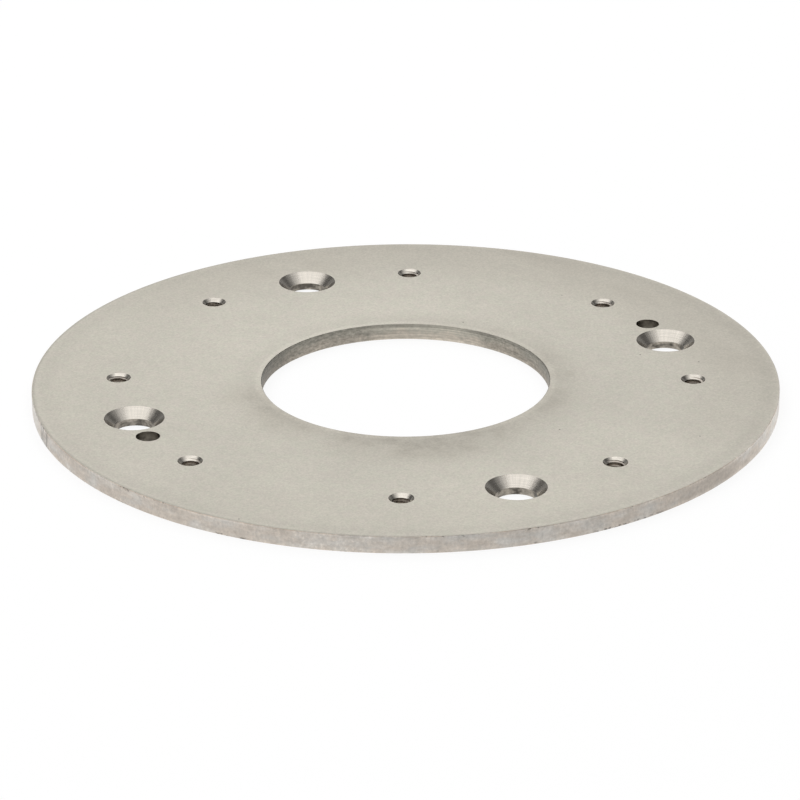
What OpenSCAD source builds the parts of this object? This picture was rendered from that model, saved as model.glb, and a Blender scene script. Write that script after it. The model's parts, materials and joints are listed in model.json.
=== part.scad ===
// Telescope mount adapter plate: a flat stainless steel ring that joins a
// telescope mount to the head of its pier or tripod. It is one piece, cut from
// sheet, with countersunk screw holes, tapped holes and plain clearance holes.
//
// Millimetres. The plate lies on its underside at z = 0, the countersunk face
// is up, the origin is on the axis of the bore, and X runs along the long side
// of the rectangle of countersunk holes.

/* [Plate] */
// Outside diameter of the plate
plate_d = 220; // [200:1:300]
// Thickness of the sheet
plate_t = 5; // [4:0.5:12]
// Diameter of the bore in the middle
bore_d = 85; // [30:1:130]
// Edge break on the rim, the bore and the underside of the screw holes
edge_break = 0.15; // [0.1:0.05:1]

/* [Countersunk screw holes] */
// Spacing of the four holes along X
csk_span_x = 119.5; // [110:0.5:130]
// Spacing of the four holes along Y
csk_span_y = 116.5; // [110:0.5:130]
// Diameter of each through hole
csk_hole_d = 11.8; // [6:0.1:14]
// Diameter of each countersink at the top face
csk_mouth_d = 17.5; // [15:0.1:20]
// Included angle of each countersink
csk_angle = 90; // [82:1:100]

/* [Tapped holes] */
// Number of tapped holes around the hole circle
tap_count = 8; // [4:4:8]
// Diameter of the hole circle, which the clearance holes share
hole_circle_d = 169.5; // [165:0.5:185]
// Angle from X to the first tapped hole
tap_angle = 23.3; // [21:0.1:24]
// Thread's minor diameter, 5 for an M6 thread
tap_minor_d = 5; // [3:0.1:6]
// Diameter of the lead-in at the top face
tap_mouth_d = 7.2; // [6.5:0.1:9]
// Diameter of the lead-in at the underside
tap_back_d = 6.4; // [6.2:0.1:9]
// Included angle of the lead-ins
tap_lead_angle = 90; // [60:5:120]

/* [Clearance holes] */
// Diameter of each plain hole
clear_d = 7; // [4:0.1:8]
// Angle from X to the first plain hole; the second is opposite
clear_angle = 53.75; // [53:0.05:60]

/* [Hidden] */
$fn = 128;

plate_r = plate_d / 2;
bore_r = bore_d / 2;
hole_circle_r = hole_circle_d / 2;
clear_count = 2;
// How far a cutter reaches past the face that it opens
past = 1;
// Included angle of an edge break
break_angle = 90;

// The ring before drilling, turned from its section with all four edges broken
module blank() {
    rotate_extrude()
        polygon([
            [bore_r, edge_break],
            [bore_r + edge_break, 0],
            [plate_r - edge_break, 0],
            [plate_r, edge_break],
            [plate_r, plate_t - edge_break],
            [plate_r - edge_break, plate_t],
            [bore_r + edge_break, plate_t],
            [bore_r, plate_t - edge_break]
        ]);
}

// A straight drill through the whole thickness
module drill(d) {
    translate([0, 0, -past])
        cylinder(d = d, h = plate_t + 2 * past);
}

// A countersinking tool: a cone of the given mouth where it crosses z = 0, tip down
module sink(mouth_d, angle) {
    slope = tan(angle / 2);
    tip = mouth_d / 2 / slope;
    translate([0, 0, -tip])
        cylinder(r1 = 0, r2 = (tip + past) * slope, h = tip + past);
}

// The same tool brought to the top face
module sink_from_top(mouth_d, angle) {
    translate([0, 0, plate_t])
        sink(mouth_d, angle);
}

// The same tool brought to the underside
module sink_from_below(mouth_d, angle) {
    mirror([0, 0, 1])
        sink(mouth_d, angle);
}

// Cutter for a countersunk screw, its underside deburred
module countersunk_hole() {
    drill(csk_hole_d);
    sink_from_top(csk_mouth_d, csk_angle);
    sink_from_below(csk_hole_d + 2 * edge_break, break_angle);
}

// Cutter for a tapped hole at its minor diameter, with a lead-in at both faces
module tapped_hole() {
    drill(tap_minor_d);
    sink_from_top(tap_mouth_d, tap_lead_angle);
    sink_from_below(tap_back_d, tap_lead_angle);
}

// Copies of the children at the corners of a rectangle around the axis
module at_corners(span_x, span_y) {
    for (x = [-1, 1], y = [-1, 1])
        translate([x * span_x / 2, y * span_y / 2, 0])
            children();
}

// Copies of the children evenly around a circle
module around_circle(count, r, first_angle) {
    for (i = [0 : count - 1])
        rotate(first_angle + i * 360 / count)
            translate([r, 0, 0])
                children();
}

module adapter_plate() {
    color([0.78, 0.77, 0.73])
        difference() {
            blank();
            at_corners(csk_span_x, csk_span_y)
                countersunk_hole();
            around_circle(tap_count, hole_circle_r, tap_angle)
                tapped_hole();
            around_circle(clear_count, hole_circle_r, clear_angle)
                drill(clear_d);
        }
}

adapter_plate();
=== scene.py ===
# %% [markdown]
# # A telescope mount's adapter plate
# The real object is one flat ring of stainless steel sheet. A mount's base is
# screwed to its tapped holes, and countersunk screws hold it down on a pier.
# The CAD model already has the right sizes, so this lesson never measures the
# plate again: it loads the packed model and reads the sizes from it.

# %% Load the frame
import json
import math

import bpy
from mathutils import Matrix, Vector


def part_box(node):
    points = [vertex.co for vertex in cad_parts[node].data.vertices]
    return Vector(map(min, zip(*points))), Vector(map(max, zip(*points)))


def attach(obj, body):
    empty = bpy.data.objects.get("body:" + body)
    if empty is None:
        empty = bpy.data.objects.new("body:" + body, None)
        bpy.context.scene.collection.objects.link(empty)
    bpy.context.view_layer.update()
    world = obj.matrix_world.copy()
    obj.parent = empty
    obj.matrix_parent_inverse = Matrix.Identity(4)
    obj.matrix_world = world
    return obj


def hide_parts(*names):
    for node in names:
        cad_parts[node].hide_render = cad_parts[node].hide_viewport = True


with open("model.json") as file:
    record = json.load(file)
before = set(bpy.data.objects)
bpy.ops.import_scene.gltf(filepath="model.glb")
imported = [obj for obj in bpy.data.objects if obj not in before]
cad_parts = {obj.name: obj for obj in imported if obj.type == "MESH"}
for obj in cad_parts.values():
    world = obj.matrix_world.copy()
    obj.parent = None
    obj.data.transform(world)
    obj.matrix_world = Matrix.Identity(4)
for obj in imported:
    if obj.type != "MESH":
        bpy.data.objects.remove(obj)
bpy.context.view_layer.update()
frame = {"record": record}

MM = 0.001

# %% [markdown]
# ## Sizes
# The record names every interface of the plate as a mount, with its sizes. The
# plate's own box gives the outside radius and the thickness. Only what a mount
# can't say, such as the mouth of a countersink, is written down here.

# %% Sizes of the plate, in metres
PLATE = "adapter_plate"
mounts = {mount["name"]: mount["dims"] for mount in frame["record"]["mounts"]}
low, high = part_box(PLATE)

plate_r = max(high.x, high.y, -low.x, -low.y)
plate_t = high.z - low.z
bore_r = mounts["central_bore"]["r_mm"] * MM
edge_break = (plate_t - mounts["central_bore"]["length_mm"] * MM) / 2

screw_span_x = mounts["countersunk_holes"]["spacing_x_mm"] * MM
screw_span_y = mounts["countersunk_holes"]["spacing_y_mm"] * MM
screw_r = mounts["countersunk_holes"]["hole_r_mm"] * MM
screw_mouth_r = 8.75 * MM

hole_circle_r = mounts["tapped_holes"]["pcd_mm"] / 2 * MM
tap_count = mounts["tapped_holes"]["count"]
tap_minor_r = mounts["tapped_holes"]["hole_r_mm"] * MM
tap_mouth_r = 3.6 * MM
tap_back_r = 3.2 * MM
tap_angle = math.radians(23.3)
thread_tip_r = 3.05 * MM
thread_pitch = 1.0 * MM

clear_r = mounts["clearance_holes"]["hole_r_mm"] * MM
clear_angle = math.radians(53.75)
print(f"plate {2 * plate_r / MM:.1f} mm across and {plate_t / MM:.1f} mm thick")

# %% [markdown]
# ## Camera
# The photograph was taken with a long lens from a low angle. Its camera was
# found by matching the four ellipses of the rim and the bore, so it is placed
# by an azimuth, an elevation and a distance. A camera object looks along its
# own -Z with +Y up, so a matrix made of its right, up and back directions says
# all there is to say about its turn.

# %% The camera at the photograph's angle
VIEW_AZIMUTH = math.radians(24.255)
VIEW_ELEVATION = math.radians(23.256)
VIEW_ROLL = math.radians(-0.231)
VIEW_DISTANCE = 1215.3 * MM
VIEW_LENS = 185.68
VIEW_CLIP_END = 100
TARGET_RIGHT = -1.68 * MM
TARGET_NEAR = 4.55 * MM


def seen_from(azimuth, elevation):
    """The direction towards a viewer at an azimuth round the plate and an elevation above it."""
    flat = math.cos(elevation)
    return Vector((math.sin(azimuth) * flat, -math.cos(azimuth) * flat, math.sin(elevation)))


near = seen_from(VIEW_AZIMUTH, 0)
right = Vector((0, 0, 1)).cross(near)
back = seen_from(VIEW_AZIMUTH, VIEW_ELEVATION)
turn = Matrix((right, back.cross(right), back)).transposed()
turn = turn @ Matrix.Rotation(VIEW_ROLL, 3, "Z")

camera = bpy.data.objects.new("camera", bpy.data.cameras.new("camera"))
camera.data.lens = VIEW_LENS
camera.data.clip_end = VIEW_CLIP_END
camera.matrix_world = turn.to_4x4()
camera.location = right * TARGET_RIGHT + near * TARGET_NEAR + back * VIEW_DISTANCE
bpy.context.scene.collection.objects.link(camera)
bpy.context.scene.camera = camera
bpy.context.scene.view_settings.view_transform = "Standard"
print("camera at", [round(value, 3) for value in camera.location])

# %% [markdown]
# ## Shader maths as Python
# A node tree is a formula. Written out node by node it is hard to read, so one
# small class wraps an output socket and lets it add, subtract and multiply
# like a number: each operator adds one Math node. Every other node comes from
# the method `node`, which sets the node's own settings first, because they can
# change its sockets, and then the sockets. The same class serves materials,
# the world and Geometry Nodes, because all three share the Math node.

# %% One class for wires between nodes
SEED_STEP = (7.3, 3.1, 5.7)


class Wire:
    """An output socket of a node tree; with no socket, just a handle on the tree."""

    def __init__(self, tree, socket=None):
        self.tree = tree
        self.socket = socket

    def feed(self, target, value):
        """Links a wire, or each wire of a list, to an input socket, or sets the socket's value."""
        for item in value if isinstance(value, list) else [value]:
            if isinstance(item, Wire):
                self.tree.links.new(item.socket, target)
            else:
                target.default_value = item

    def node(self, kind, settings=None, sockets=None, output=0):
        """Adds a node, gives it settings and then values or wires, and returns one output."""
        made = self.tree.nodes.new(kind)
        for name, value in (settings or {}).items():
            setattr(made, name, value)
        for name, value in (sockets or {}).items():
            self.feed(made.inputs[name], value)
        return Wire(self.tree, made.outputs[output]) if made.outputs else None

    def maths(self, operation, *values):
        return self.node("ShaderNodeMath", {"operation": operation}, dict(enumerate(values)))

    def __add__(self, other):
        return self.maths("ADD", self, other)

    def __radd__(self, other):
        return self.maths("ADD", other, self)

    def __sub__(self, other):
        return self.maths("SUBTRACT", self, other)

    def __rsub__(self, other):
        return self.maths("SUBTRACT", other, self)

    def __mul__(self, other):
        return self.maths("MULTIPLY", self, other)

    def __rmul__(self, other):
        return self.maths("MULTIPLY", other, self)

    def __truediv__(self, other):
        return self.maths("DIVIDE", self, other)

    def __rtruediv__(self, other):
        return self.maths("DIVIDE", other, self)

    def __pow__(self, other):
        return self.maths("POWER", self, other)

    def __neg__(self):
        return self.maths("MULTIPLY", self, -1)

    def __abs__(self):
        return self.maths("ABSOLUTE", self)

    def above(self, limit):
        """1 where this wire is greater than limit, else 0."""
        return self.maths("GREATER_THAN", self, limit)

    def rise(self, start, end):
        """0 up to start, 1 from end on, with a soft slope between them."""
        return self.node(
            "ShaderNodeMapRange",
            {"interpolation_type": "SMOOTHSTEP"},
            {"Value": self, "From Min": start, "From Max": end},
        )

    def swing(self, amount):
        """Noise about 0.5 turned into a factor about 1."""
        return 1 + (self - 0.5) * amount

    def axes(self):
        """The three numbers of a vector."""
        return [self.node("ShaderNodeSeparateXYZ", None, {0: self}, axis) for axis in range(3)]

    def vector(self, x=0.0, y=0.0, z=0.0):
        """A vector of three numbers or wires."""
        return self.node("ShaderNodeCombineXYZ", None, {0: x, 1: y, 2: z})

    def noise(self, size, stretch=(1, 1, 1), seed=0, detail=2.0, roughness=0.5):
        """Cloudy noise about 0.5, its features about size across in the vector's own units."""
        scale = tuple(1 / (size * factor) for factor in stretch)
        shift = tuple(seed * step for step in SEED_STEP)
        moved = self.node(
            "ShaderNodeVectorMath",
            {"operation": "MULTIPLY_ADD"},
            {0: self, 1: scale, 2: shift},
        )
        return self.node(
            "ShaderNodeTexNoise",
            None,
            {"Vector": moved, "Scale": 1.0, "Detail": detail, "Roughness": roughness},
        )

    def tint(self, first, second):
        """A colour that goes from first, where this wire is 0, to second, where it is 1."""
        return self.node("ShaderNodeMix", {"data_type": "RGBA"}, {0: self, 6: first, 7: second}, 2)

    def paint(self, colour):
        """A colour made lighter or darker by this wire as a factor."""
        return self.node("ShaderNodeVectorMath", {"operation": "SCALE"}, {0: colour, "Scale": self})


print("wires ready:", ", ".join(name for name in vars(Wire) if not name.startswith("__")))

# %% [markdown]
# ## Floor, world and lamps
# The photograph has a plain white ground. A floor that is lit to white would
# also light the plate from below, so the floor glows only for rays that look
# at it: those of the camera, of reflections and of glass. Light Path tells
# them apart. A thin diffuse layer stays, so the plate's shadow still shows.
#
# Steel shows its surroundings more than its own colour. The countersinks tell
# what stood round this plate: their far walls are bright and their side walls
# turn dark, so a wide soft lamp hung above, a pale backdrop stood behind, and
# the room to the sides was dark. The dark comes on slowly, so dimmer and dimmer
# strips carry on from the lamp's two side edges. Area lamps, with a weak one in
# front, and a dim world that is a little paler towards the horizon repeat all that.

# %% A floor that is white to look at
FLOOR_HALF = 6.0
FLOOR_DROP = 0.1 * MM
FLOOR_GLOW = 0.86
FLOOR_PAINT = (0.16, 0.16, 0.16, 1)
WHITE = (1, 1, 1, 1)


def looking_rays(sheet):
    """1 for rays of the camera, of reflections and of glass, else 0."""
    kinds = ("Is Camera Ray", "Is Glossy Ray", "Is Transmission Ray")
    first, second, third = (sheet.node("ShaderNodeLightPath", None, None, kind) for kind in kinds)
    return first.maths("MAXIMUM", first.maths("MAXIMUM", first, second), third)


def new_material(name):
    """An empty material and a handle on its node tree."""
    material = bpy.data.materials.new(name)
    material.use_nodes = True
    material.node_tree.nodes.clear()
    return material, Wire(material.node_tree)


floor_material, sheet = new_material("studio_floor")
paint = sheet.node("ShaderNodeBsdfDiffuse", None, {"Color": FLOOR_PAINT})
glow_level = looking_rays(sheet) * FLOOR_GLOW
glow = sheet.node("ShaderNodeEmission", None, {"Color": WHITE, "Strength": glow_level})
both = sheet.node("ShaderNodeAddShader", None, {0: paint, 1: glow})
sheet.node("ShaderNodeOutputMaterial", None, {"Surface": both})

floor_mesh = bpy.data.meshes.new("floor")
outline = ((-1, -1), (1, -1), (1, 1), (-1, 1))
corners = [(x * FLOOR_HALF, y * FLOOR_HALF, -FLOOR_DROP) for x, y in outline]
floor_mesh.from_pydata(corners, [], [(0, 1, 2, 3)])
floor_mesh.materials.append(floor_material)
floor = bpy.data.objects.new("floor", floor_mesh)
bpy.context.scene.collection.objects.link(floor)
print("floor", 2 * FLOOR_HALF, "m wide")

# %% A dim world
WORLD_LEVEL = 0.12
HORIZON_LEVEL = 0.14
HORIZON_FADE = (0.28, 0.42)

world = bpy.data.worlds.new("studio")
bpy.context.scene.world = world
world.use_nodes = True
world.node_tree.nodes.clear()
sky = Wire(world.node_tree)
to_camera = sky.node("ShaderNodeLightPath", None, None, "Is Camera Ray")
_, _, upward = sky.node("ShaderNodeTexCoord", None, None, "Generated").axes()
dim = WORLD_LEVEL + HORIZON_LEVEL * (1 - upward.rise(*HORIZON_FADE))
level = dim.maths("MAXIMUM", dim, to_camera)
ground = sky.node("ShaderNodeBackground", None, {"Color": WHITE, "Strength": level})
sky.node("ShaderNodeOutputWorld", None, {"Surface": ground})
print("world level", WORLD_LEVEL, "overhead and", WORLD_LEVEL + HORIZON_LEVEL, "at the horizon")

# %% Soft lamps
LAMP_LENGTH = 4.6
SKIRT_DISTANCE = 2.3
SKIRT_HEIGHT = 0.33
SKIRTS = {
    "right_skirt": (90, ((59, 0.78), (51, 0.5), (43, 0.17))),
    "left_skirt": (-90, ((50, 1.0), (43, 0.4))),
}


def soft_lamp(name, azimuth, elevation, distance, width, height, radiance):
    """A rectangular lamp that faces the plate; azimuth is counted from the camera, in degrees."""
    lamp = bpy.data.objects.new(name, bpy.data.lights.new(name, "AREA"))
    lamp.data.shape = "RECTANGLE"
    lamp.data.size = width
    lamp.data.size_y = height
    lamp.data.energy = radiance * math.pi * width * height
    azimuth = VIEW_AZIMUTH + math.radians(azimuth)
    out = seen_from(azimuth, math.radians(elevation))
    side = Vector((0, 0, 1)).cross(seen_from(azimuth, 0))
    lamp.matrix_world = Matrix((side, out.cross(side), out)).transposed().to_4x4()
    lamp.location = out * distance
    lamp.visible_camera = False
    bpy.context.scene.collection.objects.link(lamp)
    print(f"lamp {name}: {width} by {height} m, radiance {radiance}")


soft_lamp("overhead", -90, 85, distance=1.95, width=LAMP_LENGTH, height=2.35, radiance=1.15)
for name, (azimuth, strips) in SKIRTS.items():
    for elevation, radiance in strips:
        strip = f"{name}_{elevation}"
        soft_lamp(strip, azimuth, elevation, SKIRT_DISTANCE, LAMP_LENGTH, SKIRT_HEIGHT, radiance)
soft_lamp("backdrop", 180, 32, distance=3.0, width=3.0, height=1.9, radiance=0.91)
soft_lamp("front", -35, 25, distance=3.0, width=3.0, height=2.0, radiance=0.4)

# %% [markdown]
# ## Finishes
# Every finish here is bare steel, so each one is a metallic Principled shader,
# and what differs is colour, roughness and fine relief. All patterns read the
# Object coordinates, turned into millimetres: the plate sits at the origin, so
# they are simply places on the plate. Three helpers say where a place is: how far
# from the axis, how far along a given direction, and how far round towards it.

# %% A base for all steel finishes
TO_MM = (1 / MM, 1 / MM, 1 / MM)
rim_mm = plate_r / MM
bore_mm = bore_r / MM
top_mm = plate_t / MM


def start_finish(name):
    """A new material, and the place on the plate as a vector in millimetres."""
    material, sheet = new_material(name)
    place = sheet.node("ShaderNodeTexCoord", None, None, "Object")
    place = sheet.node("ShaderNodeVectorMath", {"operation": "MULTIPLY"}, {0: place, 1: TO_MM})
    return material, place


def end_finish(sheet, colour, roughness, relief, depth):
    """Closes a finish: relief is a wire about 0 to 1, and depth its height in millimetres."""
    normal = sheet.node("ShaderNodeBump", None, {"Distance": depth * MM, "Height": relief})
    steel = sheet.node(
        "ShaderNodeBsdfPrincipled",
        None,
        {"Base Color": colour, "Metallic": 1.0, "Roughness": roughness, "Normal": normal},
    )
    sheet.node("ShaderNodeOutputMaterial", None, {"Surface": steel})


def from_axis(place):
    """Distance from the plate's axis."""
    x, y, _ = place.axes()
    return (x * x + y * y) ** 0.5


def reach_along(place, azimuth):
    """How far a place lies from the axis, measured along an azimuth from the camera."""
    out = seen_from(VIEW_AZIMUTH + math.radians(azimuth), 0)
    x, y, _ = place.axes()
    return x * out.x + y * out.y


def towards(place, azimuth):
    """Cosine of the angle between a place, seen from the axis, and an azimuth from the camera."""
    return reach_along(place, azimuth) / from_axis(place)


print("finish helpers ready")

# %% [markdown]
# ### The sheet's flat faces
# Pickled stainless sheet is matt and a little warm, with a fine even grain and a
# faint mottle from pinkish to greenish. It has been handled: a smeared grey haze
# hugs the bore, most of all in front and on the left, and another lies along the
# edge at the back. The bore has a thin paler lip, both edges have a duller band
# beside them, and there are a few pits. Haze, lip and bands follow the plate's own
# round edges, so they are worked out from the distance to the axis, and the haze
# is broken up with noise rather than painted as spots.

# %% Pits and haze on the flat faces
PIT_SPACING = 19
PIT_RADIUS = 0.35
PIT_SHARE = 0.1


def pits(place):
    """1 inside small round pits, one in some of the cells of a scattered grid."""
    cells = {"Vector": place, "Scale": 1 / PIT_SPACING}
    flat = {"voronoi_dimensions": "2D"}
    away = place.node("ShaderNodeTexVoronoi", flat, cells, "Distance") * PIT_SPACING
    lot, _, _ = place.node("ShaderNodeTexVoronoi", flat, cells, "Color").axes()
    return (1 - away.rise(0.5 * PIT_RADIUS, PIT_RADIUS)) * lot.above(1 - PIT_SHARE)


def bore_haze(place, reach, mottle):
    """Smeared haze round the bore, widest and darkest in front and on the left."""
    smears = place.noise(9, seed=21, detail=4.0, roughness=0.55).rise(0.3, 0.7)
    in_front = towards(place, 3).rise(0.8, 1.0)
    on_left = towards(place, -60).rise(0.85, 1.0)
    width = 15 + 9 * in_front + 6 * on_left
    beside_bore = 1 - reach.rise(bore_mm, bore_mm + width)
    depth = 0.05 + 0.045 * towards(place, 60) + 0.11 * on_left + 0.12 * in_front
    return beside_bore * depth * smears.swing(0.8) * mottle.swing(2.4)


def edge_haze(place, reach, clouds, behind):
    """Wiped haze along the outer edge, darkest at the back."""
    wiped = place.vector(reach_along(place, 130), 0.12 * reach_along(place, 40))
    wipes = wiped.noise(13, seed=19, detail=2.0).rise(0.3, 0.7) * clouds.rise(0.3, 0.7)
    at_edge = reach.rise(0.65 * rim_mm, 0.92 * rim_mm)
    return at_edge * (0.02 + behind * (0.065 + 0.08 * wipes))


print("pits", PIT_SPACING, "mm apart before the draw, each", 2 * PIT_RADIUS, "mm across")

# %% Bands and sides of the flat faces


def edge_bands(place, reach, behind):
    """How much paler or duller the bands are that follow the bore and the outer edge."""
    from_edge = reach.maths("MINIMUM", reach - bore_mm, rim_mm - reach)
    dull_band = from_edge.rise(1.3, 2.6) * (1 - from_edge.rise(4, 9))
    bore_lip = 1 - reach.rise(bore_mm + 1.3, bore_mm + 2.6)
    rim_lip = reach.rise(rim_mm - 1.3, rim_mm - 0.4) * (0.04 * behind - 0.085)
    # Painted shade: a darker lip along the outer edge on the left.
    left_lip = reach.rise(rim_mm - 1, rim_mm - 0.3) * towards(place, -60)
    outer_band = reach.rise(rim_mm - 7, rim_mm - 2.5) * (1 - reach.rise(rim_mm - 1.4, rim_mm - 0.6))
    outer_band = outer_band * (0.018 + 0.015 * towards(place, 65))
    return 0.05 * bore_lip + rim_lip - 0.1 * left_lip - 0.03 * dull_band - outer_band


def side_shine(place, reach):
    """How much brighter the face is painted on some of its sides, as a painted sheen."""
    by_bore = (1 - reach.rise(50, 80)) * towards(place, -150)
    in_front = reach.rise(50, 64) * towards(place, 30).rise(0.75, 1.0)
    return 0.02 * towards(place, -160) + 0.05 * by_bore + 0.035 * in_front


print("bands follow radii of", bore_mm, "and", rim_mm, "mm")

# %% Flat faces
SHEET_GREEN = (0.541, 0.523, 0.454, 1)
SHEET_PINK = (0.549, 0.517, 0.458, 1)
HAZE = (0.545, 0.512, 0.446, 1)
HAZE_TINTING = 8


def sheet_finish():
    material, place = start_finish("pickled_sheet")
    reach = from_axis(place)
    behind = towards(place, 150).rise(-0.2, 0.8)
    clouds = place.noise(26, seed=1, detail=4.0)
    mottle = place.noise(4, seed=2, detail=5.0, roughness=0.6)
    grain = place.noise(0.6, seed=3, detail=2.0, roughness=0.7)
    warmth = place.noise(2.6, seed=38, detail=2.0).rise(0.35, 0.65)
    pitted = pits(place)

    haze = bore_haze(place, reach, mottle) + edge_haze(place, reach, clouds, behind)
    tone = 1.02 + side_shine(place, reach) + edge_bands(place, reach, behind) - haze
    tone = tone * clouds.swing(0.12) * mottle.swing(0.16) * grain.swing(0.5) * (1 - 0.6 * pitted)
    clear_sheet = warmth.tint(SHEET_GREEN, SHEET_PINK)
    colour = tone.paint((haze * HAZE_TINTING).tint(clear_sheet, HAZE))
    roughness = mottle.swing(0.2) * 0.52
    end_finish(place, colour, roughness, relief=grain - pitted, depth=0.01)
    return material


sheet_steel = sheet_finish()
print("finish:", sheet_steel.name)

# %% [markdown]
# ### The cut rim
# The outer edge was cut by heat, so it is pinkish with bluish patches, and the
# cut left upright streaks, bright crystals and nicks along both edges. It is
# painted paler and cooler towards the two sides, as painted reflections, and
# lighter towards the left, as painted light. It is also painted lighter low
# down, a painted glow from the floor, and just below the top, and its edge
# breaks carry a painted highlight. It has a dark streak on the left, and it is
# scorched along the top in front. Noise that is stretched upright gives the
# streaks all the way round with no seam.

# %% Marks on the rim


def rim_nicks(place, z, from_edge):
    """1 in nicks: torn ones low on the right, and worn ones on stretches of both edges."""
    torn = place.noise(1.3, stretch=(1, 1, 0.6), seed=22).rise(0.53, 0.6)
    low_right = (1 - z.rise(0.4, 0.9)) * towards(place, 34).rise(0.99, 0.998)
    worn = place.noise(1.6, stretch=(1, 1, 0.5), seed=9, detail=3.0).rise(0.58, 0.66)
    rough_cut = (1 - from_edge.rise(0.3, 0.9)) * place.noise(17, seed=16).rise(0.56, 0.63)
    return torn * low_right + worn * rough_cut


def rim_crystals(place):
    """1 in bright crystals, on a crust in front and on scattered stretches."""
    crust = towards(place, -11).rise(0.99, 0.998) + place.noise(12, seed=7).rise(0.6, 0.68)
    return place.noise(1.0, seed=8).rise(0.52, 0.66) * crust


def rim_scorch(place, z):
    """1 where heat scorched the top in front."""
    in_front = towards(place, 5).rise(0.88, 0.97)
    return z.rise(top_mm - 1.2, top_mm - 0.4) * in_front * place.noise(8, seed=17).rise(0.38, 0.55)


def rim_soot(place, z):
    """1 in a sooty patch half way up on the right."""
    return towards(place, 51).rise(0.985, 0.997) * (1 - abs(z - top_mm / 2).rise(0.8, 2.4))


print("rim marks ready for a rim", top_mm, "mm high")

# %% Rim
RIM_PINK = (0.606, 0.547, 0.484, 1)
RIM_BLUE = (0.573, 0.55, 0.515, 1)


def rim_finish():
    material, place = start_finish("cut_rim")
    _, _, z = place.axes()
    from_edge = top_mm / 2 - abs(z - top_mm / 2)
    patches = place.noise(9, stretch=(1, 1, 0.35), seed=4, detail=4.0, roughness=0.6)
    blots = place.noise(2.6, stretch=(1.6, 1.6, 0.6), seed=15, detail=3.0, roughness=0.6)
    streaks = place.noise(1.1, stretch=(1, 1, 3), seed=5, detail=3.0, roughness=0.6)
    grain = place.noise(0.8, seed=6, detail=2.0, roughness=0.7)
    crystals = rim_crystals(place)
    nicks = rim_nicks(place, z, from_edge)
    soot = rim_soot(place, z)

    bright_edge = 1 - from_edge.rise(0.12, 0.2)
    glint = bright_edge * (0.27 + 0.06 * towards(place, 75))
    # Painted light: the rim is lighter low down, a painted glow from the floor.
    pale_foot = (1 - z.rise(0.3, 2.0)) * (0.07 + 0.05 * towards(place, 50))
    # Painted light: a band just below the top edge is made lighter.
    below_edge = z.rise(top_mm - 0.9, top_mm - 0.3) * (1 - bright_edge)
    pale_top = below_edge * place.noise(11, seed=23).rise(0.42, 0.58)
    # Painted reflections: the rim is painted paler towards its right and left sides.
    clean_right = towards(place, 75).rise(0.92, 0.98)
    pale_right = towards(place, 84).rise(0.93, 0.995)
    pale_left = towards(place, -76).rise(0.9925, 0.9975)
    dark_streak = towards(place, -71).rise(0.999, 0.9997) * streaks.rise(0.38, 0.6)

    # Painted light: the rim is made lighter towards the left.
    tone = 0.945 + 0.115 * towards(place, -80) + 0.17 * clean_right - 0.5 * dark_streak
    tone = tone + (0.3 * pale_right + 0.2 * pale_left) * (1 - bright_edge)
    tone = tone * patches.swing(0.35) * blots.swing(0.5) * streaks.swing(0.36) * grain.swing(0.5)
    tone = tone * (1 + pale_foot + 0.14 * pale_top + glint) * (1 + 0.12 * crystals)
    tone = tone * (1 - 0.5 * nicks) * (1 - 0.1 * rim_scorch(place, z)) * (1 - 0.1 * soot)
    # The cool tint follows bluish patches, and the painted reflections at the sides.
    cool = patches + 0.07 * towards(place, 18).rise(0.85, 0.97) - 0.1 * soot
    cool = cool + 0.15 * pale_right + 0.15 * pale_left + 0.1 * dark_streak
    colour = tone.paint(cool.rise(0.4, 0.74).tint(RIM_PINK, RIM_BLUE))
    relief = streaks + 0.6 * crystals - nicks
    roughness = streaks.swing(0.4) * (0.5 + 0.4 * bright_edge)
    end_finish(place, colour, roughness, relief, depth=0.03)
    return material


rim_steel = rim_finish()
print("finish:", rim_steel.name)

# %% [markdown]
# ### The turned bore
# The bore was cut and then turned, so its wall has fine level lines over a
# brownish grain. Its greys are painted darker than the steel, as painted shade.
# The wall is painted lighter low down, a painted glow from the floor, and
# darker towards its two ends, painted shade. At the back it is painted
# brighter, a painted highlight, and its lines are cleaner there. Noise that is
# stretched far along X and Y, and not along Z, gives level lines without a map
# of the wall.

# %% Bore wall
# Both colours are painted darker than the steel: painted shade.
BORE_GREY = (0.372, 0.354, 0.306, 1)
BORE_BROWN = (0.384, 0.349, 0.30, 1)


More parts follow.
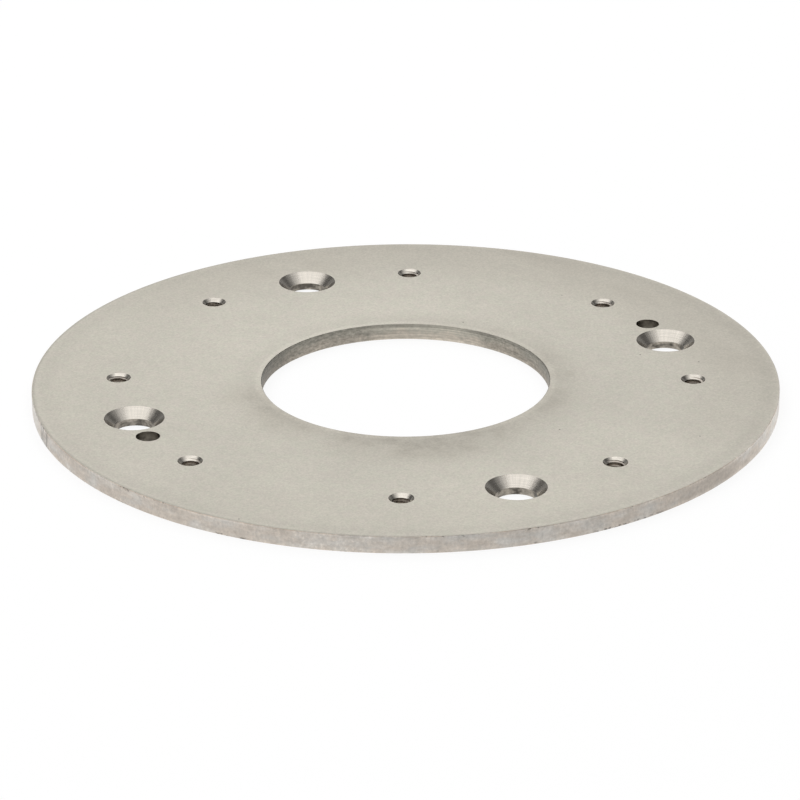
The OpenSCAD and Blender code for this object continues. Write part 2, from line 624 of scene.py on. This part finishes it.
def bore_finish():
    material, place = start_finish("turned_bore")
    _, _, z = place.axes()
    lines = place.noise(0.42, stretch=(70, 70, 1), seed=10, detail=2.0)
    flecks = place.noise(0.6, stretch=(3, 3, 1), seed=13, detail=3.0, roughness=0.7)
    specks = place.noise(0.9, seed=12, detail=2.0, roughness=0.7)
    blotches = place.noise(6, stretch=(1, 1, 0.4), seed=11, detail=3.0)
    # Painted highlight: the wall is brighter at the back, where its lines are also cleaner.
    clean = (towards(place, 172) + (blotches - 0.5) * 0.1).rise(0.87, 0.988)
    under_edge = z.rise(top_mm - 1.2, top_mm - 0.5)
    # Painted light: the wall is lighter low down, a painted glow from the floor.
    foot = 1 - z.rise(0.5, 2.6)
    # Painted shade: the wall is darker towards its two ends.
    left = towards(place, -90).rise(0.7, 1.0)
    right_end = towards(place, 90).rise(0.9, 1.0)

    tone = (1 + 0.41 * clean - 0.05 * towards(place, -130)) * (1 - 0.33 * left - 0.16 * right_end)
    tone = tone * (1 - 0.2 * under_edge + 0.16 * foot)
    tone = tone * lines.swing(0.8 + 0.3 * clean) * blotches.swing(0.5 - 0.2 * clean)
    tone = tone * flecks.swing(1.3 - 0.7 * clean) * specks.swing(0.8 - 0.4 * clean)
    rust = (0.5 * specks + 0.5 * blotches - 0.1 * z + 0.25).rise(0.35, 0.65)
    colour = tone.paint(rust.tint(BORE_GREY, BORE_BROWN))
    roughness = blotches.swing(0.4) * 0.55
    end_finish(place, colour, roughness, relief=lines + flecks, depth=0.02)
    return material


bore_steel = bore_finish()
print("finish:", bore_steel.name)

# %% [markdown]
# ### Drilled walls and threads
# A drill leaves a dull, blotchy wall with level lines. The straight lands and
# the clearance holes are painted darker than the steel, as painted shade. The
# straight lands, the clearance holes, the lead-ins and the threads differ only
# in a few numbers, so one function makes them all.

# %% Drilled walls, lead-ins and threads
# The land and clearance colours are painted dark, as painted shade inside the holes.
LAND = (0.27, 0.245, 0.21)
CLEARANCE = (0.196, 0.178, 0.147)
LEAD_IN = (0.66, 0.62, 0.555)
THREAD = (0.42, 0.38, 0.335)


def drilled_finish(name, colour, roughness, blotchiness, seed):
    """Level lines round a wall, with blotches and specks."""
    material, place = start_finish(name)
    lines = place.noise(0.5, stretch=(40, 40, 1), seed=seed, detail=3.0)
    blotches = place.noise(3.2, stretch=(1, 1, 0.6), seed=seed + 1, detail=2.0).rise(0.35, 0.65)
    specks = place.noise(0.9, seed=seed + 2, detail=2.0, roughness=0.7)
    tone = lines.swing(0.5) * blotches.swing(blotchiness) * specks.swing(blotchiness)
    roughness = blotches.swing(0.3) * roughness
    end_finish(place, tone.paint(colour), roughness, relief=lines, depth=0.008)
    return material


land_steel = drilled_finish("drilled_land", LAND, roughness=0.38, blotchiness=1.2, seed=20)
clear_steel = drilled_finish("clearance_wall", CLEARANCE, roughness=0.4, blotchiness=0.8, seed=68)
lead_steel = drilled_finish("lead_in", LEAD_IN, roughness=0.2, blotchiness=0.15, seed=28)
thread_steel = drilled_finish("thread", THREAD, roughness=0.3, blotchiness=0.5, seed=32)
print("finishes:", land_steel.name, clear_steel.name, lead_steel.name, thread_steel.name)

# %% [markdown]
# ### Countersinks
# A countersinking tool leaves bright fine rings and a little chatter down the
# slope. Both belong to the hole's own axis. The four holes mirror one another,
# so the absolute values of X and Y bring all of them to one place, and one
# subtraction moves that place to the hole's axis.

# %% Countersunk cones
SUNK = (0.62, 0.58, 0.52)


def sunk_finish():
    material, place = start_finish("countersunk")
    x, y, _ = place.axes()
    across = abs(x) - screw_span_x / MM / 2
    along = abs(y) - screw_span_y / MM / 2
    reach = (across * across + along * along) ** 0.5
    rings = place.vector(reach, 0.03 * x, 0.03 * y).noise(0.25, seed=36)
    chatter = place.vector(across / reach, along / reach, 0.02 * (x + y)).noise(0.07, seed=37)
    tone = rings.swing(0.35) * chatter.swing(0.25)
    roughness = rings.swing(0.4) * 0.2
    relief = 0.1 * rings + chatter
    end_finish(place, tone.paint(SUNK), roughness, relief, depth=0.015)
    return material


sunk_steel = sunk_finish()
print("finish:", sunk_steel.name)

# %% [markdown]
# ## The plate as a Geometry Nodes tree
# The plate's shape follows a rule: a turned disc, less a turned tool for every
# hole. So one helper makes any turned solid: it takes a cylinder whose rings
# lie one unit apart, so that a ring's height is its number, and moves each ring
# to its own radius and height. A band's finish is set before the rings move,
# while its number can still be read from its height.
#
# The threads are real. A three-sided profile swept along a spiral is just the
# 60 degree groove that a tap cuts, and a boolean takes it out of the hole. The
# spiral runs counter-clockwise as it rises, which makes the thread right-handed.

# %% Helpers for the tree
PAST = 1.0 * MM
BAND_REACH = 0.25


def group_tree(name, sizes):
    """A geometry tree with one named input per size, and a wire for each input."""
    tree = bpy.data.node_groups.new(name, "GeometryNodeTree")
    tree.interface.new_socket("Geometry", in_out="OUTPUT", socket_type="NodeSocketGeometry")
    for label in sizes:
        kind = "NodeSocketInt" if isinstance(sizes[label], int) else "NodeSocketFloat"
        tree.interface.new_socket(label, in_out="INPUT", socket_type=kind)
    entry = tree.nodes.new("NodeGroupInput")
    return tree, {label: Wire(tree, entry.outputs[label]) for label in sizes}


def pick(sheet, index, values):
    """The value whose place in the list is index, which may vary over the mesh."""
    chooser = sheet.tree.nodes.new("GeometryNodeIndexSwitch")
    chooser.data_type = "FLOAT"
    while len(chooser.index_switch_items) < len(values):
        chooser.index_switch_items.new()
    sheet.feed(chooser.inputs["Index"], index)
    for number, value in enumerate(values):
        sheet.feed(chooser.inputs[number + 1], value)
    return Wire(sheet.tree, chooser.outputs[0])


def finished(sheet, shape, finish, selection=True):
    """A shape with a finish on its selected faces."""
    sockets = {"Geometry": shape, "Selection": selection, "Material": finish}
    return sheet.node("GeometryNodeSetMaterial", None, sockets)


def turned_solid(sheet, rings, finishes, segments):
    """A closed turned solid from rings of (radius, height), with a finish between each two."""
    steps = len(rings) - 1
    solid = sheet.node(
        "GeometryNodeMeshCylinder",
        {"fill_type": "NGON"},
        {"Vertices": segments, "Side Segments": steps, "Radius": 1.0, "Depth": float(steps)},
    )
    x, y, z = sheet.node("GeometryNodeInputPosition").axes()
    number = z + steps / 2
    solid = finished(sheet, solid, finishes[0])
    for band, finish in enumerate(finishes):
        in_band = BAND_REACH - abs(number - (band + 0.5))
        solid = finished(sheet, solid, finish, in_band.above(0))
    ring = number.maths("ROUND", number)
    radius = pick(sheet, ring, [ring_radius for ring_radius, _ in rings])
    height = pick(sheet, ring, [ring_height for _, ring_height in rings])
    place = sheet.vector(x * radius, y * radius, height)
    return sheet.node("GeometryNodeSetPosition", None, {"Geometry": solid, "Position": place})


def copies(sheet, shape, points, spin=0.0):
    """One copy of a shape on each point, turned by spin, as plain mesh."""
    sockets = {"Points": points, "Instance": shape, "Rotation": sheet.vector(z=spin)}
    placed = sheet.node("GeometryNodeInstanceOnPoints", None, sockets)
    return sheet.node("GeometryNodeRealizeInstances", None, {0: placed})


def turned_about(sheet, shape, angle):
    """A shape turned about the plate's axis."""
    sockets = {"Geometry": shape, "Rotation": sheet.vector(z=angle)}
    return sheet.node("GeometryNodeTransform", None, sockets)


print("helpers ready")

# %% [markdown]
# The tree itself reads like a list of shop operations: turn the disc, then cut
# the bore, the countersunk holes, the tapped holes with their threads and the
# clearance holes. Each tool reaches a little past both faces, so that no two
# faces of the boolean lie in one plane. First come its inputs and the disc.

# %% The tree's inputs and the disc
DISC_SIDES = 480

sizes = {
    "Plate Radius": plate_r,
    "Thickness": plate_t,
    "Edge Break": edge_break,
    "Bore Radius": bore_r,
    "Screw Span X": screw_span_x,
    "Screw Span Y": screw_span_y,
    "Screw Radius": screw_r,
    "Screw Mouth Radius": screw_mouth_r,
    "Hole Circle Radius": hole_circle_r,
    "Tap Count": tap_count,
    "Tap Angle": tap_angle,
    "Tap Minor Radius": tap_minor_r,
    "Tap Mouth Radius": tap_mouth_r,
    "Tap Back Radius": tap_back_r,
    "Thread Tip Radius": thread_tip_r,
    "Thread Pitch": thread_pitch,
    "Clear Radius": clear_r,
    "Clear Angle": clear_angle,
}
tree, size = group_tree("plate_shop", sizes)
shop = Wire(tree)
top = size["Thickness"]
over = top + PAST
chamfer = size["Edge Break"]
rim_r = size["Plate Radius"]
disc_rings = [
    (rim_r - chamfer, 0),
    (rim_r, chamfer),
    (rim_r, top - chamfer),
    (rim_r - chamfer, top),
]
disc = turned_solid(shop, disc_rings, [rim_steel] * 3, DISC_SIDES)
print("disc ready, with", len(sizes), "inputs to the tree")

# %% [markdown]
# The bore's tool flares out past the edge break at both ends. A countersunk
# hole has a broken lower edge, a straight land and a 90 degree cone, and the
# four of them stand on the corners of a grid of one cell.

# %% Tools for the bore and the countersunk holes
BORE_SIDES = 320
SCREW_SIDES = 128

wall_r = size["Bore Radius"]
flare_r = wall_r + chamfer + PAST
bore_rings = [(flare_r, -PAST), (wall_r, chamfer), (wall_r, top - chamfer), (flare_r, over)]
bore_tool = turned_solid(shop, bore_rings, [bore_steel] * 3, BORE_SIDES)

land_r = size["Screw Radius"]
mouth_r = size["Screw Mouth Radius"]
screw_rings = [
    (land_r + chamfer + PAST, -PAST),
    (land_r, chamfer),
    (land_r, top - (mouth_r - land_r)),
    (mouth_r + PAST, over),
]
screw_tool = turned_solid(shop, screw_rings, [land_steel, land_steel, sunk_steel], SCREW_SIDES)
grid = {
    "Size X": size["Screw Span X"],
    "Size Y": size["Screw Span Y"],
    "Vertices X": 2,
    "Vertices Y": 2,
}
screw_tools = copies(shop, screw_tool, shop.node("GeometryNodeMeshGrid", None, grid))
print("bore and countersunk tools ready")

# %% [markdown]
# A tapped hole is drilled to the thread's minor diameter with a lead-in at
# both faces, and the clearance holes share its circle as two ends of a line.

# %% Tools for the tapped and the clearance holes
TAP_SIDES = 72
CLEAR_SIDES = 96

minor_r = size["Tap Minor Radius"]
lead_r = size["Tap Mouth Radius"]
back_r = size["Tap Back Radius"]
tap_rings = [
    (back_r + PAST, -PAST),
    (minor_r, back_r - minor_r),
    (minor_r, top - (lead_r - minor_r)),
    (lead_r + PAST, over),
]
tap_tool = turned_solid(shop, tap_rings, [lead_steel, thread_steel, lead_steel], TAP_SIDES)
circle = {"Vertices": size["Tap Count"], "Radius": size["Hole Circle Radius"]}
tap_circle = shop.node("GeometryNodeMeshCircle", None, circle)
tap_points = turned_about(shop, tap_circle, size["Tap Angle"])
tap_tools = copies(shop, tap_tool, tap_points)

drill_rings = [(size["Clear Radius"], -PAST), (size["Clear Radius"], over)]
drill = turned_solid(shop, drill_rings, [clear_steel], CLEAR_SIDES)
ends = {
    "Count": 2,
    "Start Location": shop.vector(size["Hole Circle Radius"]),
    "Offset": shop.vector(-size["Hole Circle Radius"]),
}
pair = shop.node("GeometryNodeMeshLine", {"mode": "END_POINTS"}, ends)
drills = copies(shop, drill, turned_about(shop, pair, size["Clear Angle"]))
print("tapped and clearance tools ready")

# %% [markdown]
# A thread could be drawn as bump, but its grooves show at the holes' near edges,
# so they are cut. The groove starts below the plate and ends above it. A tap
# starts where it happens to bite, so each hole has its groove at another height:
# the list says how far below the top face the first groove passes the wall that
# the camera sees. Where a groove's corner nearly met a corner of the hole, the
# boolean would leave hair-thin faces. So a groove has one point for every second
# side of the hole, and is turned until the points face the middles of those sides.

# %% Thread grooves
THREAD_TURNS = 7
POINTS_PER_TURN = TAP_SIDES // 2
GROOVE_SHARE = 0.97
GROOVE_DEPTHS = (0.6, 0.7, 0.7, 1.3, 0.9, 0.6, 1.37, 0.8)
far_angle = VIEW_AZIMUTH + math.pi / 2
side_angle = math.tau / TAP_SIDES


def groove_spin(depth):
    """The turn that brings a groove to a depth in mm, with its points at middles of sides."""
    wanted = far_angle - math.tau * (plate_t + PAST - depth * MM) / thread_pitch
    return (math.floor(wanted / side_angle) + 0.5) * side_angle


groove_r = (size["Thread Tip Radius"] - minor_r) * GROOVE_SHARE
path_r = size["Thread Tip Radius"] - groove_r
spiral = shop.node(
    "GeometryNodeCurveSpiral",
    None,
    {
        "Resolution": POINTS_PER_TURN,
        "Rotations": float(THREAD_TURNS),
        "Start Radius": path_r,
        "End Radius": path_r,
        "Height": size["Thread Pitch"] * THREAD_TURNS,
        "Reverse": True,
    },
)
spiral = shop.node("GeometryNodeSetCurveNormal", {"mode": "Z_UP"}, {"Curve": spiral})
profile = shop.node("GeometryNodeCurvePrimitiveCircle", None, {"Resolution": 3, "Radius": groove_r})
sweep = {"Curve": spiral, "Profile Curve": profile, "Fill Caps": True}
groove = finished(shop, shop.node("GeometryNodeCurveToMesh", None, sweep), thread_steel)
lowered = {"Geometry": groove, "Translation": shop.vector(z=-PAST)}
groove = shop.node("GeometryNodeTransform", None, lowered)
hole_number = shop.node("GeometryNodeInputIndex")
spin = pick(shop, hole_number, [groove_spin(depth) for depth in GROOVE_DEPTHS])
grooves = copies(shop, groove, tap_points, spin)
print("thread grooves ready,", THREAD_TURNS, "turns long")

# %% [markdown]
# One boolean takes all the tools out of the disc. It leaves faces with many
# corners, which are split into triangles here, by the method that avoids thin
# ones. Walls are then shaded smooth, and every edge that bends by more than a few
# degrees is kept sharp. Last, the two flat faces get the sheet's own finish.

# %% Cut, smooth and finish
EDGE_LIMIT = math.radians(20)
FLAT = 0.999

cut = {"Mesh 1": disc, "Mesh 2": [bore_tool, screw_tools, tap_tools, drills, grooves]}
plate = shop.node("GeometryNodeMeshBoolean", {"operation": "DIFFERENCE", "solver": "MANIFOLD"}, cut)
split = {"ngon_method": "BEAUTY", "quad_method": "BEAUTY"}
plate = shop.node("GeometryNodeTriangulate", split, {0: plate})
smooth ={"Geometry": plate, "Shade Smooth": True}
plate = shop.node("GeometryNodeSetShadeSmooth", {"domain": "FACE"}, smooth)
is_edge = shop.node("GeometryNodeInputMeshEdgeAngle").above(EDGE_LIMIT)
sharp = {"Geometry": plate, "Selection": is_edge, "Shade Smooth": False}
plate = shop.node("GeometryNodeSetShadeSmooth", {"domain": "EDGE"}, sharp)
plate = shop.node("GeometryNodeRealizeInstances", None, {0: plate})
_, _, upright = shop.node("GeometryNodeInputNormal").axes()
plate = finished(shop, plate, sheet_steel, abs(upright).above(FLAT))
shop.node("NodeGroupOutput", None, {0: plate})
print("tree has", len(tree.nodes), "nodes")

# %% [markdown]
# ## From the tree to a plain mesh
# A modifier's inputs are set by their identifiers before the object is first
# evaluated. The evaluated result then becomes a plain mesh, and the modifier
# goes.

# %% Evaluate the tree
holder = bpy.data.objects.new("plate_holder", bpy.data.meshes.new("empty"))
bpy.context.scene.collection.objects.link(holder)
modifier = holder.modifiers.new("shop", "NODES")
modifier.node_group = tree
for item in tree.interface.items_tree:
    if item.in_out == "INPUT":
        modifier[item.identifier] = sizes[item.name]
graph = bpy.context.evaluated_depsgraph_get()
mesh = bpy.data.meshes.new_from_object(holder.evaluated_get(graph), depsgraph=graph)
bpy.data.objects.remove(holder)
mesh.name = "plate"
while None in mesh.materials[:]:
    mesh.materials.pop(index=mesh.materials[:].index(None))
dressed = bpy.data.objects.new("plate", mesh)
bpy.context.scene.collection.objects.link(dressed)
print("plate mesh:", len(mesh.vertices), "points,", len(mesh.polygons), "faces")
print("finishes on it:", [material.name for material in mesh.materials])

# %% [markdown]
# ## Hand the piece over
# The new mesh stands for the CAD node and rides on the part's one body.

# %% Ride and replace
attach(dressed, "root")
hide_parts(PLATE)
